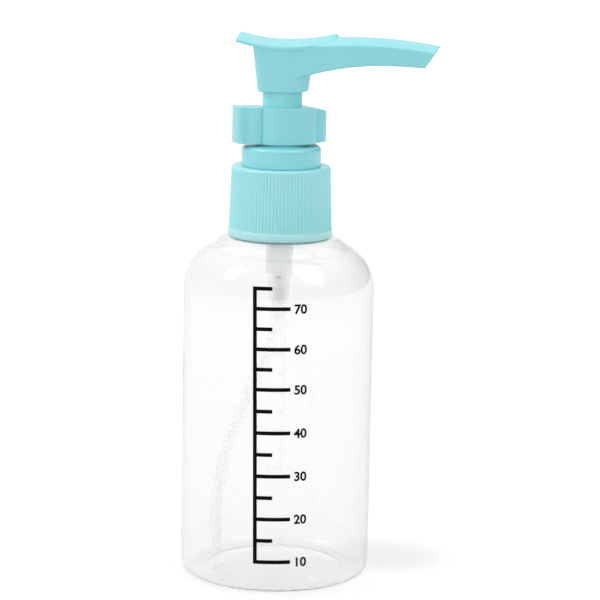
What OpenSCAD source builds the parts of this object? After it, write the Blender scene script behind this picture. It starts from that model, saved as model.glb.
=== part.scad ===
// Pump bottle for massage oil: a clear round bottle with a lotion pump on a threaded neck.
// Millimetres. +Z is up, the origin is the centre of the foot, and the spout points along +X.

/* [Bottle] */
// Outside diameter of the body
body_d = 40; // [36:0.5:60]
// Height where the straight wall ends and the shoulder begins
wall_h = 61.2; // [56:0.2:90]
// Radius of the shoulder, seen from the side
shoulder_r = 9.5; // [7:0.1:9.5]
// Radius of the heel, between the wall and the foot
heel_r = 2.4; // [1.6:0.1:3]
// Thickness of the blown wall
body_wall = 0.6; // [0.4:0.05:1]
// Thickness of the floor
floor_t = 0.9; // [0.6:0.05:1.3]
// Inside diameter of the ring that the bottle stands on
foot_ring_d = 30; // [27:0.2:31]
// Height of the push-up in the middle of the foot
push_up = 2.2; // [1:0.1:3]

/* [Neck finish] */
// Height of the neck, from the shoulder to the rim
neck_h = 13.4; // [13:0.1:14]
// Diameter of the neck at the root of its thread
neck_d = 15.8; // [15.6:0.05:15.9]
// Diameter of the mouth
mouth_d = 13; // [12:0.1:13.4]
// Diameter over the thread
thread_d = 17.6; // [17.2:0.05:17.7]
// Rise of the thread in one turn
thread_pitch = 3.175; // [3:0.025:3.3]
// Turns of thread on the neck
thread_turns = 1.5; // [1:0.25:1.5]
// Diameter of the shoulder's upper end, under the collar
seat_d = 21.4; // [20:0.1:22]
// Gap between the shoulder's upper end and the collar
seat_gap = 0.2; // [0.1:0.05:0.6]

/* [Printed scale] */
// Height of the lowest mark
scale_z = 6.8; // [5:0.1:9]
// Height of one step in the lower part of the scale
low_step = 4.56; // [3.8:0.02:4.6]
// Height of one step in the upper part, where the shoulder begins to draw in
high_step = 4.2; // [3.8:0.02:4.3]
// Number of steps in the lower part
low_steps = 8; // [2:1:8]
// Number of steps in the upper part
high_steps = 5; // [1:1:5]
// Width of a printed line
ink_w = 0.66; // [0.4:0.02:0.8]
// Thickness of the ink
ink_t = 0.06; // [0.04:0.01:0.12]
// Length of a long mark, measured round the wall
long_mark = 7.7; // [5:0.1:8]
// Length of a short mark, measured round the wall
short_mark = 4; // [2:0.1:5]
// Direction of the scale's upright line, seen from above
scale_azimuth = -98.6; // [-120:0.1:-60]

/* [Screw collar] */
// Height of the collar
collar_h = 14.6; // [13.6:0.1:15]
// Diameter at the lower edge
collar_d = 21.9; // [21.4:0.1:24]
// Diameter at the upper edge
collar_top_d = 20.7; // [20.3:0.1:21.5]
// Height of the plain band at the lower edge
band_h = 1.5; // [1:0.1:2.5]
// Depth of the grip ribs
rib_depth = 0.28; // [0.15:0.01:0.35]
// Number of grip ribs
rib_count = 90; // [60:2:100]
// Thickness of the collar's top plate
collar_plate = 1.15; // [0.9:0.05:1.4]
// Rounding of the upper edge
collar_round = 0.8; // [0.4:0.05:1]

/* [Pump body] */
// Thickness of the gasket on the rim
gasket_t = 0.8; // [0.5:0.05:1.2]
// Thickness of the housing's flange
flange_t = 0.8; // [0.6:0.05:1.2]
// Outside diameter of the wide upper barrel
barrel_d = 11; // [10.8:0.1:11.4]
// Bore of the wide upper barrel
barrel_bore = 9.1; // [9.05:0.05:9.4]
// Outside diameter of the housing's snap neck
snap_d = 11.2; // [11:0.1:11.6]
// Height of the housing's snap neck over its flange
snap_h = 4; // [3.6:0.1:4.2]
// Outside diameter of the pumping chamber
chamber_d = 5.6; // [5.4:0.1:7]
// Bore of the pumping chamber
chamber_bore = 4.24; // [4.0:0.02:4.4]
// Length of the pumping chamber
chamber_l = 13.6; // [13.5:0.1:16]
// Diameter of the tail where it leaves the chamber
tail_d = 4.6; // [4.4:0.1:5.2]
// Diameter of the tail at its lower end
tail_end_d = 4.1; // [3.8:0.1:4.4]
// Depth of the dip tube's socket
socket_l = 3.3; // [2.5:0.1:5]

/* [Chaplet] */
// Diameter of the chaplet
chaplet_d = 16.6; // [16:0.1:18]
// Height of the chaplet
chaplet_h = 4.25; // [4.2:0.05:6]
// Rounding of the chaplet's upper edge
chaplet_round = 0.9; // [0.4:0.05:1.2]
// Diameter of the boss that the lock clip stands on
boss_d = 10.1; // [9.6:0.1:12]
// Height of that boss
boss_h = 0.75; // [0.4:0.05:1.2]

/* [Stem and valves] */
// Diameter of the shank, the visible part of the stem
shank_d = 8.28; // [8.1:0.02:8.32]
// Wall of the shank
shank_wall = 0.84; // [0.6:0.02:0.95]
// Diameter of the stem's inner tube
stem_d = 3; // [2.8:0.05:3.2]
// Flow bore of the stem
stem_bore = 1.8; // [1.4:0.05:1.9]
// Diameter of the plug that the head turns on
plug_d = 4.4; // [4:0.05:4.8]
// Length of that plug
plug_l = 3.1; // [2.5:0.1:3.4]
// Length of the piston
piston_l = 3.1; // [2.5:0.1:3.2]
// Diameter of the inlet ball
inlet_ball_d = 2; // [1.8:0.05:2.1]
// Diameter of the outlet ball
outlet_ball_d = 2.4; // [2.2:0.05:2.5]
// Full travel of the pump with its lock clip taken off
stroke = 10; // [8:0.1:10]

/* [Return spring] */
// Wire of the spring
spring_wire = 0.6; // [0.4:0.05:0.65]
// Mean diameter of the coils
spring_d = 4.9; // [4.6:0.05:5]
// Number of turns
spring_turns = 9; // [6:0.5:12]

/* [Lock clip] */
// Height of the clip
clip_h = 7.35; // [5:0.05:8]
// Outside diameter of the clip's ring
clip_ring_d = 11.2; // [10.8:0.1:12]
// Reach of the left wing from the stem's axis
left_reach = 10.1; // [9:0.1:12]
// Reach of the right wing from the stem's axis
right_reach = 9.45; // [9:0.05:12]
// Length of the two arms behind the stem's axis
arm_l = 2.4; // [1.5:0.1:4]
// Drop of the right wing's top at its tip
ramp_drop = 1.1; // [0.2:0.1:1.5]
// Wall of the cored wings
clip_wall = 1.1; // [0.8:0.05:1.2]
// Turn of the clip on the shank, seen from above
clip_yaw = 26; // [0:1:45]

/* [Actuator head] */
// Half length of the head's body at its lower edge
head_half_l = 5.15; // [5.1:0.05:5.8]
// Half width of the head's body at its lower edge
head_half_w = 4.6; // [4.5:0.05:5]
// Growth of the half length up to the pad
head_flare = 1.1; // [0.6:0.05:1.6]
// Rounding of the body's upright corners
head_corner = 2.2; // [1.5:0.1:2.6]
// Height of the lowest point of the thumb pad over the body's lower edge
pad_z = 10.1; // [10:0.05:11]
// Reach of the pad behind the stem's axis
pad_back = 9.3; // [8:0.1:11]
// Reach of the pad in front of the stem's axis
pad_front = 11.4; // [10:0.1:13]
// Thickness of the pad
pad_t = 1.25; // [1:0.05:1.5]
// Half width of the pad at its lower edge
pad_half_w = 5.4; // [5:0.05:6.5]
// Reach of the spout's upper lip from the stem's axis
spout_l = 32.4; // [28:0.1:38]
// Half width of the spout at its root
spout_root_w = 4.5; // [4:0.05:4.6]
// Half width of the spout at its tip
spout_tip_w = 3.3; // [2.6:0.05:3.8]
// Slant of the spout's cut, from upright
spout_slant = 38; // [20:1:45]
// Bore of the spout
spout_bore = 2; // [1.6:0.05:2.2]

/* [Dip tube] */
// Outside diameter of the dip tube
tube_d = 2.66; // [2.4:0.02:2.9]
// Bore of the dip tube
tube_bore = 1.5; // [1.2:0.05:1.7]
// Lean of the dip tube at its middle
tube_lean = 22; // [10:1:24]
// Radius of the tube's upper bend
upper_bend_r = 18; // [12:1:30]
// Radius of the tube's lower bend
lower_bend_r = 58; // [30:1:60]
// Distance of the tube's lower end from the bottle's axis
tube_offset = 12.6; // [9:0.1:13]
// Gap between the tube's lower end and the foot plane
tube_end_z = 2.7; // [2.7:0.1:6]
// Direction that the tube leans in, seen from above
tube_azimuth = 186; // [90:1:270]

/* [Hidden] */
$fn = 96;

// Overshoot of a cutting tool, and how far joined solids reach into each other.
eps = 0.4;
// Clearance where a piece turns or slides on another.
run_play = 0.05;
// Clearance of a piece that is pressed in and doesn't move.
press_play = 0.02;

// Way that is left under the head at the end of its full stroke.
stroke_spare = 0.55;

// Heights, from the foot up.
shoulder_top = wall_h + shoulder_r;
rim_z = shoulder_top + neck_h;
flange_z = rim_z + gasket_t;
plate_z = flange_z + flange_t + run_play;
collar_top = plate_z + collar_plate;
collar_z = collar_top - collar_h;
chaplet_z = collar_top + run_play;
chaplet_top = chaplet_z + chaplet_h;
boss_top = chaplet_top + boss_h;
clip_z = boss_top + run_play;
head_z = boss_top + stroke + stroke_spare;

// The bottle.
body_r = body_d / 2;
seat_z = collar_z - seat_gap;

// Turn of the shoulder's round, before it runs out into a cone.
shoulder_turn = 62;

// Shares of the way in and up along the cone, which is slightly full.
cone_way = [[0.3, 0.38], [0.62, 0.73], [0.86, 0.92], [1, 1]];

// The housing, from its snap neck down.
flange_d = neck_d;
snap_top = flange_z + flange_t + snap_h;
snap_bead = 0.15;
barrel_floor_t = 1;
shank_foot_z = snap_top - 0.8;
barrel_floor = shank_foot_z - stroke - 0.6;
barrel_end = barrel_floor - barrel_floor_t;
chamber_floor = barrel_floor - chamber_l;
cage_lip = 0.5;
inlet_lift = 0.5;
inlet_seat_d = 1.2;
inlet_r = inlet_ball_d / 2;
inlet_rise = sqrt(inlet_r * inlet_r - inlet_seat_d * inlet_seat_d / 4);
cage_top = chamber_floor - cage_lip;
inlet_ball_z = cage_top - inlet_lift - inlet_r - 0.1;
inlet_seat_z = inlet_ball_z - inlet_rise;
seat_t = 0.8;
socket_top = inlet_seat_z - seat_t;
tail_z = socket_top - socket_l;

// The stem.
shank_r = shank_d / 2;
shank_bore = shank_d - 2 * shank_wall;
shank_disc_t = 0.9;
shank_in_head = 1.6;
shank_top = head_z + shank_in_head;
shank_foot_d = barrel_bore - 4 * run_play;
plug_top = shank_top + plug_l;
piston_top = barrel_floor - 0.3;
piston_z = piston_top - piston_l;
outlet_r = outlet_ball_d / 2;
outlet_lift = 0.35;
outlet_ball_z = plug_top + sqrt(outlet_r * outlet_r - stem_bore * stem_bore / 4) + press_play;

// The threads.
neck_ridge_base = 1.5;
neck_ridge_crest = 0.7;
collar_ridge_base = 1.3;
collar_ridge_crest = 0.6;
collar_turns = min(1.25, thread_turns);
thread_play = 0.15;
collar_bore = thread_d + 0.4;
ridge_gap = 0.2;
ridge_z = rim_z - 1.3 - thread_turns * thread_pitch;
ridge_drop = (neck_ridge_base + collar_ridge_crest) / 2 + thread_play;

// ---------- outlines and helpers ----------

// Points of an arc about (x, y), from angle a to angle b.
function arc(x, y, r, a, b, n = 12) = [for (i = [0:n]) [x + r * cos(a + (b - a) * i / n), y + r * sin(a + (b - a) * i / n)]];

// Smooth step from 0 at a to 1 at b.
function ramp(x, a, b) = let (t = max(0, min(1, (x - a) / (b - a)))) t * t * (3 - 2 * t);

// Closed solid through rings of points that all hold the same number of points. It is capped at both ends, or
// its last ring is joined to its first.
module loft(rings, closed = false) {
    n = len(rings[0]);
    last = len(rings) - 1;
    count = n * len(rings);
    points = [for (ring = rings) for (p = ring) p];
    sides = [for (i = [0:closed ? last : last - 1]) for (j = [0:n - 1])
        let (a = i * n + j, b = i * n + (j + 1) % n, c = (a + n) % count, d = (b + n) % count)
            each [[a, b, d], [a, d, c]]];
    caps = closed ? [] : [[for (j = [n - 1:-1:0]) j], [for (j = [0:n - 1]) last * n + j]];
    polyhedron(points = points, faces = concat(caps, sides), convexity = 6);
}

// Thread ridge: a trapezium swept along a helix from radius root to radius crest, fading out at both ends.
module thread_ridge(root, crest, base_w, crest_w, turns, z) {
    steps = 24;
    count = round(turns * steps);
    fade = 2;
    side = sign(crest - root);
    loft([for (i = [0:count])
        let (turn = 360 * i / steps,
            rise = z + thread_pitch * i / steps,
            height = max(0.05, min(1, min(i, count - i) / fade)),
            tip = root + (crest - root) * height,
            half_root = base_w / 2,
            half_tip = half_root + (crest_w / 2 - half_root) * height)
        [for (p = [[root, -half_root], [tip, -half_tip], [tip, half_tip], [root, half_root]])
            [p[0] * cos(turn), p[0] * sin(turn), rise + side * p[1]]]]);
}

module tube(d, bore, z, h) {
    translate([0, 0, z]) difference() {
        cylinder(d = d, h = h);
        translate([0, 0, -eps]) cylinder(d = bore, h = h + 2 * eps);
    }
}

module bore(d, z, h) {
    translate([0, 0, z]) cylinder(d = d, h = h);
}

// ---------- bottle ----------

// Half outline of the blown body, taken in by t at the wall and up by up at the floor.
function body_outline(t, up) = let (r = body_r - t, heel = heel_r - t / 2, foot_r = foot_ring_d / 2 - t)
    concat(
        [for (i = [0:10]) let (x = foot_r * i / 10) [x, up + push_up * (1 - pow(x / foot_r, 2))]],
        arc(r - heel, heel + up, heel, -90, 0),
        arc(r - shoulder_r + t, wall_h, shoulder_r - t, 0, shoulder_turn, 16),
        shoulder_cone(t),
        [[0, seat_z - t]]);

// Cone of the shoulder, from the end of its round to its seat under the collar.
function shoulder_cone(t) = let (
    low = [body_r - shoulder_r + (shoulder_r - t) * cos(shoulder_turn),
        wall_h + (shoulder_r - t) * sin(shoulder_turn)],
    way = [seat_d / 2 - t / 2, seat_z - t] - low)
    [for (share = cone_way) [low[0] + way[0] * share[0], low[1] + way[1] * share[1]]];

module bottle() {
    color([0.93, 0.95, 0.96, 0.35]) difference() {
        union() {
            rotate_extrude() polygon(body_outline(0, 0));
            bore(neck_d, seat_z - eps, rim_z - seat_z + eps);
            thread_ridge(neck_d / 2 - 0.3, thread_d / 2, neck_ridge_base, neck_ridge_crest, thread_turns, ridge_z);
        }
        rotate_extrude() polygon(body_outline(body_wall, floor_t));
        bore(mouth_d, wall_h, shoulder_r + neck_h + eps);
    }
}

// ---------- printed scale ----------

// Height of mark i.
function mark_z(i) = scale_z + min(i, low_steps) * low_step + max(i - low_steps, 0) * high_step;

// A printed patch on the wall: from the scale's upright line, round the wall by length.
module wall_patch(z, h, length) {
    r = body_r + press_play;
    translate([0, 0, z]) rotate([0, 0, scale_azimuth]) rotate_extrude(angle = length / r * 180 / PI)
        translate([r, 0]) square([ink_t, h]);
}

module scale_print() {
    last = low_steps + high_steps;
    color([0.03, 0.03, 0.03]) {
        wall_patch(mark_z(0) - ink_w / 2, mark_z(last) - mark_z(0) + ink_w, ink_w);
        for (i = [0:last]) wall_patch(mark_z(i) - ink_w / 2, ink_w, i % 2 == 0 ? long_mark : short_mark);
    }
}

// ---------- screw collar ----------

// Plan of the ribbed wall: one crest and one valley for each rib.
function rib_outline(r) = [for (i = [0:2 * rib_count - 1])
    let (a = 180 * i / rib_count, p = i % 2 == 0 ? r : r - rib_depth) [p * cos(a), p * sin(a)]];

module screw_collar() {
    low_r = collar_d / 2;
    top_r = collar_top_d / 2;
    rib_z = collar_z + band_h;
    rib_h = collar_top - collar_round - rib_z;
    bore_h = collar_h - collar_plate;
    hub_d = snap_d + 0.5;
    color([0.48, 0.80, 0.84]) difference() {
        union() {
            bore(collar_d, collar_z, band_h);
            translate([0, 0, rib_z - run_play])
                linear_extrude(height = rib_h + run_play, scale = top_r / (low_r - 0.15)) polygon(rib_outline(low_r - 0.15));
            rotate_extrude() polygon(concat([[0, collar_top - collar_round - eps]],
                [[top_r - rib_depth / 2, collar_top - collar_round - eps]],
                arc(top_r - rib_depth / 2 - collar_round, collar_top - collar_round, collar_round, 0, 90),
                [[0, collar_top]]));
        }
        bore(collar_bore, collar_z - eps, bore_h + eps);
        bore(hub_d, collar_z, collar_h + eps);
    }
    color([0.48, 0.80, 0.84]) intersection() {
        thread_ridge(collar_bore / 2 + 0.3, neck_d / 2 + ridge_gap, collar_ridge_base, collar_ridge_crest,
            collar_turns, ridge_z - ridge_drop);
        bore(collar_bore + 0.2, collar_z, bore_h);
    }
}

// ---------- pump body ----------

module neck_gasket() {
    color([0.95, 0.95, 0.94]) tube(neck_d, barrel_d + 4 * run_play, rim_z, gasket_t);
}

module pump_housing() {
    color([0.93, 0.94, 0.94]) difference() {
        union() {
            bore(flange_d, flange_z, flange_t);
            bore(snap_d, flange_z, snap_top - flange_z);
            bore(snap_d + 2 * snap_bead, snap_top - snap_h / 2, 0.6);
            bore(barrel_d, barrel_end, flange_z - barrel_end + eps);
            bore(chamber_d, cage_top, barrel_end - cage_top + eps);
            translate([0, 0, tail_z]) cylinder(d1 = tail_end_d, d2 = tail_d, h = cage_top - tail_z + run_play);
        }
        bore(barrel_bore, barrel_floor, snap_top - barrel_floor + eps);
        bore(chamber_bore, chamber_floor, chamber_l + eps);
        bore(inlet_seat_d + 0.2, cage_top - run_play, cage_lip + 2 * run_play);
        bore(inlet_ball_d + 0.6, inlet_seat_z, cage_top - inlet_seat_z);
        bore(inlet_seat_d, socket_top - run_play, seat_t + 2 * run_play);
        bore(tube_d + 2 * press_play, tail_z - eps, socket_l + eps);
    }
}

module chaplet() {
    r = chaplet_d / 2;
    sleeve_bore = snap_d + 2 * press_play;
    core_h = chaplet_h - 1.6;
    color([0.46, 0.79, 0.83]) difference() {
        union() {
            rotate_extrude() polygon(concat([[0, chaplet_z], [r, chaplet_z]],
                arc(r - chaplet_round, chaplet_top - chaplet_round, chaplet_round, 0, 90), [[0, chaplet_top]]));
            bore(boss_d, chaplet_top - eps, boss_h + eps);
        }
        bore(sleeve_bore, chaplet_z - eps, snap_top + press_play - chaplet_z + eps);
        bore(sleeve_bore + 2 * snap_bead, snap_top - snap_h / 2 - 0.1, 0.8);
        bore(shank_d + 6 * run_play, chaplet_z, chaplet_h + boss_h + eps);
        translate([0, 0, -run_play]) tube(chaplet_d - 2.4, sleeve_bore + 2, chaplet_z, core_h);
    }
}

// ---------- dip tube ----------

// Points of the tube's centre line from the top down, each as [reach, height, lean].
function tube_line() = let (
    bends = upper_bend_r + lower_bend_r,
    straight_z = tail_z - 1.2,
    middle_l = (tube_offset - bends * (1 - cos(tube_lean))) / sin(tube_lean),
    low_z = straight_z - bends * sin(tube_lean) - middle_l * cos(tube_lean)
) concat(
    [[0, socket_top - 0.1, 0]],
    [for (i = [0:5]) let (a = tube_lean * i / 5)
        [upper_bend_r * (1 - cos(a)), straight_z - upper_bend_r * sin(a), a]],
    [for (i = [8:-1:0]) let (a = tube_lean * i / 8)
        [tube_offset - lower_bend_r * (1 - cos(a)), low_z + lower_bend_r * sin(a), a]],
    [[tube_offset, tube_end_z, 0]]);

// Ring of points round the tube's centre line at p.
function tube_ring(p, r, sides = 20) = [for (j = [0:sides - 1]) let (t = 360 * j / sides)
    [p[0] + r * cos(t) * cos(p[2]), r * sin(t), p[1] + r * cos(t) * sin(p[2])]];

module dip_tube() {
    line = tube_line();
    last = len(line) - 1;
    color([0.96, 0.97, 0.97, 0.6]) rotate([0, 0, tube_azimuth]) loft(concat(
        [for (i = [0:last]) tube_ring(line[i], tube_d / 2)],
        [for (i = [last:-1:0]) tube_ring(line[i], tube_bore / 2)]), closed = true);
}

// ---------- stem, piston, valves and spring ----------

module inlet_ball() {
    color([0.75, 0.77, 0.8]) translate([0, 0, inlet_ball_z + press_play]) sphere(d = inlet_ball_d);
}

module outlet_ball() {
    color([0.75, 0.77, 0.8]) translate([0, 0, outlet_ball_z]) sphere(d = outlet_ball_d);
}

module stem() {
    color([0.43, 0.76, 0.80]) difference() {
        union() {
            bore(shank_d, shank_foot_z, shank_top - shank_foot_z);
            bore(shank_foot_d, shank_foot_z, 0.7);
            bore(plug_d, shank_top - eps, plug_l + eps);
        }
        difference() {
            bore(shank_bore, shank_foot_z - eps, shank_top - shank_disc_t - shank_foot_z + eps);
            bore(stem_d, shank_foot_z - 2 * eps, shank_top - shank_foot_z + 2 * eps);
        }
        bore(stem_bore, shank_foot_z - eps, plug_top - shank_foot_z + 2 * eps);
    }
    color([0.43, 0.76, 0.80]) tube(stem_d, stem_bore, piston_z + 0.3, shank_foot_z - piston_z);
}

// Cup seal on the end of the stem: a sleeve with a thin lip at each end that wipes the chamber.
module piston() {
    lip_d = chamber_bore - 2 * run_play;
    lip_h = 0.5;
    color([0.96, 0.96, 0.94]) difference() {
        union() {
            bore(lip_d - 0.3, piston_z, piston_l);
            bore(lip_d, piston_z, lip_h);
            bore(lip_d, piston_top - lip_h, lip_h);
        }
        bore(stem_d + 2 * press_play, piston_z + 0.25, piston_l);
        bore(stem_bore, piston_z - eps, piston_l);
    }
}

module return_spring() {
    foot = barrel_floor + spring_wire / 2 + run_play;
    top = shank_top - shank_disc_t - spring_wire / 2 - run_play;
    steps = 14;
    sides = 6;
    count = round(spring_turns * steps);
    color([0.72, 0.73, 0.75]) loft([for (i = [0:count])
        let (turn = 360 * i / steps, rise = foot + (top - foot) * i / count)
        [for (j = [0:sides - 1])
            let (a = 360 * j / sides, r = spring_d / 2 + spring_wire / 2 * cos(a))
            [r * cos(turn), r * sin(turn), rise + spring_wire / 2 * sin(a)]]]);
}

// ---------- lock clip ----------

// Plan of one wing, from the ring out to reach, taken in by t. It points along +X, or along -X at side -1.
module wing_plan(side, reach, t) {
    front = side > 0
        ? [[4.6, -2.9 + t], [6.9, -3.15 + t], [8.2, -2.65 + t], [reach - 0.4 - t, -1.9 + t], [reach - t, -1]]
        : [[4.6, -2.4 + t], [6.1, -2.75 + t], [7, -2.45 + t], [8.6, -1.65 + t], [reach - 0.8 - t, -1.6 + t],
            [reach - t, -0.6 + t]];
    back = [[reach - t, 2.6 - t], [reach - 0.8 - t, 3.2 - t], [7.8, 3 - t], [6.1, arm_l + 0.2 - t],
        [4.6, arm_l - 0.3 - t]];
    edge = concat(front, back);
    last = len(edge) - 1;
    polygon([for (i = [0:last]) let (p = edge[side > 0 ? i : last - i]) [side * p[0], p[1]]]);
}

// Plan of the clip's face between its wings: it swells in front of the ring, and more to the right.
module face_plan() {
    polygon([[-5.3, 0], [-5.3, -2.5], [-5.05, -3.2], [-4.2, -4.15], [-2.6, -5.1], [0, -5.6], [2.4, -5.8], [4.4, -5.5],
        [5.7, -4.7], [6.35, -3.7], [6.75, -3.1], [6.75, 0]]);
}

module lock_clip() {
    slot_r = shank_r + 2 * run_play;
    ring_r = clip_ring_d / 2;
    slope = atan(ramp_drop / (right_reach - shank_r));
    pocket_top = clip_h - clip_wall - ramp_drop;
    color([0.47, 0.80, 0.84]) translate([0, 0, clip_z]) rotate([0, 0, clip_yaw]) difference() {
        linear_extrude(height = clip_h) difference() {
            union() {
                circle(r = ring_r);
                translate([-ring_r, 0]) square([2 * ring_r, arm_l]);
                wing_plan(1, right_reach, 0);
                wing_plan(-1, left_reach, 0);
                face_plan();
            }
            circle(r = slot_r);
            translate([-slot_r, 0]) square([2 * slot_r, ring_r + eps]);
        }
        for (side = [-1, 1]) translate([0, 0, -eps]) linear_extrude(height = pocket_top + eps) difference() {
            wing_plan(side, side > 0 ? right_reach : left_reach, clip_wall);
            circle(r = ring_r + 0.2);
        }
        translate([shank_r, -10, clip_h]) rotate([0, slope, 0]) cube([14, 20, 4]);
    }
}

// ---------- actuator head ----------

// Height of the thumb pad's surface at x: a dish that is tighter behind the stem than in front.
function pad_surface(x) = head_z + pad_z + pow(x - 0.3, 2) / (x < 0.3 ? 46 : 70);
// Height of the spout's crown and of its underside at x.
function spout_crown(x) = head_z + pad_z + 0.82 - pow(x - 16, 2) / 190;
function spout_under(x) = head_z + pad_z - 4.15 - pow(x - 21.5, 2) / (x < 21.5 ? 108 : 200);
// Half width of the spout at x.
function spout_w(x) = spout_root_w + (spout_tip_w - spout_root_w) * x / spout_l;
// Half width of the pad at x, as a share of its greatest.
function pad_share(x) = x < 0 ? 1 - 0.0022 * x * x : sqrt(max(0.02, 1 - pow(x / (pad_front + 0.1), 2)));

module head_body() {
    top = pad_z - pad_t / 2;
    hull() for (end = [[0, 0], [top, head_flare]]) {
        half_l = head_half_l + end[1];
        half_w = head_half_w + end[1] / 4;
        for (sx = [-1, 1]) for (sy = [-1, 1])
            translate([sx * (half_l - head_corner), sy * (half_w - head_corner), head_z + end[0]])
                cylinder(r = head_corner, h = 0.01, $fn = 32);
    }
}

module thumb_pad() {
    bevel = 1.4;
    lip = 0.35;
    count = 26;
    loft([for (i = [0:count])
        let (x = -pad_back + (pad_back + pad_front) * i / count,
            low = pad_half_w * pad_share(x),
            high = max(0.4, (pad_half_w - bevel) * pad_share(x)),
            z = pad_surface(x),
            foot = z - pad_t)
        [for (p = [[low, foot], [-low, foot], [-low, foot + lip], [-high, z], [high, z], [low, foot + lip]])
            [x, p[0], p[1]]]]);
}

module spout() {
    bevel = 1;
    count = 28;
    difference() {
        loft([for (i = [0:count])
            let (x = (spout_l + 2) * i / count, w = spout_w(x), z = spout_crown(x), foot = spout_under(x))
            [for (p = [[w - 0.5, foot], [-w + 0.5, foot], [-w, foot + 0.6], [-w, z - bevel], [-w + bevel, z],
                    [w - bevel, z], [w, z - bevel], [w, foot + 0.6]])
                [x, p[0], p[1]]]]);
        translate([spout_l, -10, spout_crown(spout_l)]) rotate([0, spout_slant, 0])
            translate([0, 0, -20]) cube([20, 20, 40]);
    }
}

module actuator_head() {
    channel_z = head_z + pad_z - 2.6;
    color([0.46, 0.79, 0.83]) difference() {
        union() {
            head_body();
            thumb_pad();
            spout();
        }
        bore(shank_d + 4 * run_play, head_z - eps, shank_in_head + run_play + eps);
        bore(plug_d + 2 * run_play, head_z, plug_top + run_play - head_z);
        bore(outlet_ball_d + 0.8, plug_top - run_play, outlet_ball_z + outlet_r + outlet_lift + run_play - plug_top);
        translate([0, 0, channel_z]) rotate([0, 90, 0]) cylinder(d = spout_bore, h = spout_l + eps);
    }
}

bottle();
scale_print();
screw_collar();
neck_gasket();
pump_housing();
chaplet();
dip_tube();
inlet_ball();
stem();
piston();
return_spring();
outlet_ball();
lock_clip();
actuator_head();
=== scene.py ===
"""Pump bottle for massage oil: the finished look of each piece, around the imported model.

Each operator makes one piece, or one group of like pieces, at its place in the model's own frame. Lengths are
in metres, +Z is up, the origin is the centre of the foot, and the spout points along +X.
"""

import math

import bmesh
import bpy
from mathutils import Matrix, Vector


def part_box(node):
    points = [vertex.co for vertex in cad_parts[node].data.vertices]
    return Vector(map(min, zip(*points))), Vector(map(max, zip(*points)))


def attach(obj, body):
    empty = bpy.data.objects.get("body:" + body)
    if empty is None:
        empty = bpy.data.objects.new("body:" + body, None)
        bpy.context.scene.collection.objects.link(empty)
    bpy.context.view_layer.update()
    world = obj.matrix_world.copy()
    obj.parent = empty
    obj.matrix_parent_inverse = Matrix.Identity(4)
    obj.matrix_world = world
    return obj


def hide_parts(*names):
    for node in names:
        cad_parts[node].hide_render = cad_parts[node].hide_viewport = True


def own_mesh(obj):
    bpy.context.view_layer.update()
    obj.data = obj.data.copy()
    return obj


bl_info = {
    "name": "Pump Oil Bottle",
    "version": (1, 0, 0),
    "blender": (4, 5, 0),
    "location": "3D View > Sidebar > Pump Bottle",
    "description": "Builds a clear bottle with a lotion pump, piece by piece",
    "category": "Add Mesh",
}

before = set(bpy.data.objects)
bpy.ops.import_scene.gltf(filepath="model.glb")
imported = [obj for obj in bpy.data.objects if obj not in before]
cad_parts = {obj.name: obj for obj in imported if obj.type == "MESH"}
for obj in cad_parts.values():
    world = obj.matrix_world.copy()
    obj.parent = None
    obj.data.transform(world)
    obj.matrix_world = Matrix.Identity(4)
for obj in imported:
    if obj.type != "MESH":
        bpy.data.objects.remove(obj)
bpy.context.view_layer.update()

mm = 0.001
SMOOTH = 35.0  # degrees: a sharper edge than this stays sharp in the shading
NECK_TURNS = 1.5  # of the neck's thread
NECK_GAP = 1.3 * mm  # from the rim down to the upper end of the neck's thread
LOW = {node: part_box(node)[0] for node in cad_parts}
HIGH = {node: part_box(node)[1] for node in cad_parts}


def span(node):
    """The lowest and the highest z of a node."""
    return LOW[node].z, HIGH[node].z


# ---------------------------------------------------------------- settings


def length(name, description, default, low=0.0):
    """A length. Its default and its lowest value are given in millimetres."""
    return bpy.props.FloatProperty(name=name, description=description, default=default * mm, min=low * mm,
                                   subtype="DISTANCE", unit="LENGTH", precision=5)


def angle(name, description, degrees):
    return bpy.props.FloatProperty(name=name, description=description, default=math.radians(degrees),
                                   subtype="ANGLE", unit="ROTATION")


def factor(name, description, default, high=1.0):
    return bpy.props.FloatProperty(name=name, description=description, default=default, min=0.0, max=high)


def count(name, description, default):
    return bpy.props.IntProperty(name=name, description=description, default=default, min=1)


def colour(name, description, red, green, blue):
    return bpy.props.FloatVectorProperty(name=name, description=description, default=(red, green, blue),
                                         size=3, min=0.0, max=1.0, subtype="COLOR")


class PumpBottleBody(bpy.types.PropertyGroup):
    wall_h: length("Wall height", "Height where the straight wall ends and the shoulder begins", 61.2)
    shoulder_r: length("Shoulder radius", "Radius of the shoulder, seen from the side", 9.5)
    heel_r: length("Heel radius", "Radius between the wall and the foot", 2.4)
    wall: length("Wall", "Thickness of the blown wall", 0.6)
    ring_r: length("Foot ring", "Inside radius of the ring that the bottle stands on", 15)
    push_up: length("Push-up", "Height of the push-up in the middle of the foot", 2.2)
    neck_r: length("Neck radius", "Radius of the neck at the root of its thread", 7.9)
    mouth_r: length("Mouth radius", "Radius of the mouth", 6.5)
    seat_r: length("Seat radius", "Radius where the shoulder ends, under the collar", 11.05)
    seat_z: length("Seat height", "Height where the shoulder ends, under the collar", 72.34)
    thread_r: length("Thread radius", "Radius over the neck's thread", 8.8)
    pitch: length("Thread pitch", "Rise of the thread in one turn", 3.175)
    tube_r: length("Dip tube radius", "Outside radius of the dip tube", 1.33)
    tube_wall: length("Dip tube wall", "Wall of the dip tube", 0.58)


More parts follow.
